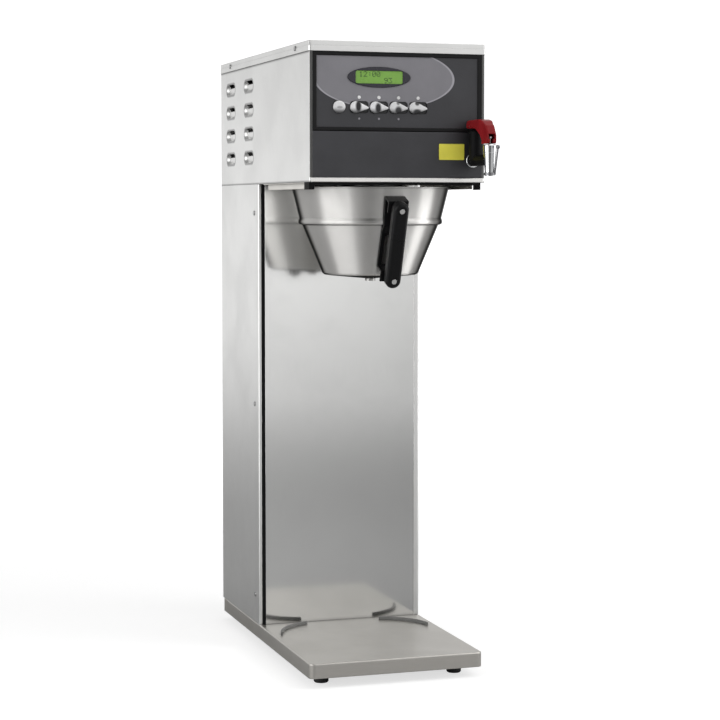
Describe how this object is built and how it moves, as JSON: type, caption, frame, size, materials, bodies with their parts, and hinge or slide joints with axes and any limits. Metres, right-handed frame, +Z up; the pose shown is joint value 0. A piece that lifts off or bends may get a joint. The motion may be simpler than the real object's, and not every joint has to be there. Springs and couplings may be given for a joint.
{
  "type": "coffee brewer",
  "caption": "Tall steel coffee brewer with a slide-out brew funnel, hot-water faucet, lit display, push buttons and an open bay for a thermal server.",
  "frame": {"origin": "on the counter, in the middle between the four feet", "axes": "+Z up, front toward -Y, +X to the user's right when facing the machine"},
  "size_m": [0.2858, 0.6581, 0.979],
  "materials": {
    "brushed_steel": "fine upright grain",
    "polished_steel": "near mirror",
    "funnel_steel": "spun, polished",
    "rail_steel": "satin",
    "inner_steel": "plain",
    "screw_steel": "satin",
    "rod_steel": "satin",
    "bright_trim": "satin",
    "chrome": "mirror",
    "brass": "plain",
    "rubber": "matt",
    "dark_rib": "satin",
    "black_plastic": "satin",
    "black_frame": "satin",
    "charcoal_panel": "fine texture",
    "control_overlay": "satin film with a grey sweep",
    "lcd_surround": "glossy",
    "lcd_glass": "lit display glass",
    "board": "lacquered",
    "silver_button": "metallic lacquer",
    "pale_lens": "frosted",
    "yellow_plate": "satin",
    "valve_plastic": "moulded",
    "silicone_hose": "soft",
    "red_plastic": "glossy"
  },
  "bodies": {
    "brewer": {"base_pan": "brushed_steel", "feet": "rubber", "server_guide_left": "dark_rib", "server_guide_right": "dark_rib", "column_side_left": "brushed_steel", "column_side_right": "brushed_steel", "column_seam_strip": "black_plastic", "column_front_panel": "polished_steel", "back_panel": "brushed_steel", "cable_gland": "black_plastic", "water_inlet_fitting": "brass", "head_side_left": "brushed_steel", "head_side_right": "brushed_steel", "lid": "brushed_steel", "panel_screws": "screw_steel", "head_floor": "brushed_steel", "front_skirt": "black_plastic", "funnel_rail_left": "rail_steel", "funnel_rail_right": "rail_steel", "spray_head": "inner_steel", "control_bezel": "black_frame", "control_overlay": "control_overlay", "lcd_bezel": "lcd_surround", "lcd_window": "lcd_glass", "control_board": "board", "indicator_lenses": "pale_lens", "lower_front_panel": "charcoal_panel", "yellow_plate": "yellow_plate", "bottom_trim": "bright_trim", "water_tank": "inner_steel", "tank_lid": "inner_steel", "heating_element": "inner_steel", "temperature_probe": "inner_steel", "tank_shelf": "inner_steel", "dispense_valve": "valve_plastic", "spray_tube": "silicone_hose", "fill_valve": "valve_plastic", "fill_tube": "silicone_hose", "faucet_shank": "brass", "faucet_nut": "brass", "faucet_tube": "silicone_hose", "faucet_ring": "chrome", "faucet_body": "black_plastic", "faucet_spout": "chrome", "faucet_bonnet": "chrome", "faucet_spring": "inner_steel", "lever_pin": "screw_steel", "spout_rod": "rod_steel"},
    "funnel": {"brew_funnel": "funnel_steel", "filter_basket": "inner_steel", "funnel_handle_grip": "black_plastic", "funnel_handle_strap": "black_plastic", "handle_screws": "screw_steel"},
    "faucet_lever_body": {"faucet_lever": "red_plastic"},
    "faucet_stem_body": {"faucet_stem": "inner_steel"},
    "power_button_body": {"power_button": "silver_button"},
    "brew_button_1_body": {"brew_button_1": "silver_button"},
    "brew_button_2_body": {"brew_button_2": "silver_button"},
    "brew_button_3_body": {"brew_button_3": "silver_button"},
    "brew_button_4_body": {"brew_button_4": "silver_button"}
  },
  "joints": [
    {"name": "funnel_slide", "type": "slide", "parent": "brewer", "child": "funnel", "axis": [0, -1, 0], "range_m": [0, 0.26]},
    {"name": "lever_hinge", "type": "hinge", "parent": "brewer", "child": "faucet_lever_body", "pos_m": [0.12, -0.289, 0.853], "axis": [-1, 0, 0], "range_deg": [0, 8]},
    {"name": "stem_slide", "type": "slide", "parent": "brewer", "child": "faucet_stem_body", "axis": [0, 0, 1], "range_m": [0, 0.008], "stiffness_N_per_m": 30, "springref_m": -0.004, "deforming": ["faucet_spring"]},
    {"name": "power_button_press", "type": "slide", "parent": "brewer", "child": "power_button_body", "axis": [0, 1, 0], "range_m": [0, 0.001], "stiffness_N_per_m": 1200, "springref_m": -0.0005},
    {"name": "brew_button_1_press", "type": "slide", "parent": "brewer", "child": "brew_button_1_body", "axis": [0, 1, 0], "range_m": [0, 0.001], "stiffness_N_per_m": 1200, "springref_m": -0.0005},
    {"name": "brew_button_2_press", "type": "slide", "parent": "brewer", "child": "brew_button_2_body", "axis": [0, 1, 0], "range_m": [0, 0.001], "stiffness_N_per_m": 1200, "springref_m": -0.0005},
    {"name": "brew_button_3_press", "type": "slide", "parent": "brewer", "child": "brew_button_3_body", "axis": [0, 1, 0], "range_m": [0, 0.001], "stiffness_N_per_m": 1200, "springref_m": -0.0005},
    {"name": "brew_button_4_press", "type": "slide", "parent": "brewer", "child": "brew_button_4_body", "axis": [0, 1, 0], "range_m": [0, 0.001], "stiffness_N_per_m": 1200, "springref_m": -0.0005}
  ],
  "couplings": [
    {"joint": "lever_hinge", "follows": "stem_slide", "rad_per_m": 17.241}
  ]
}
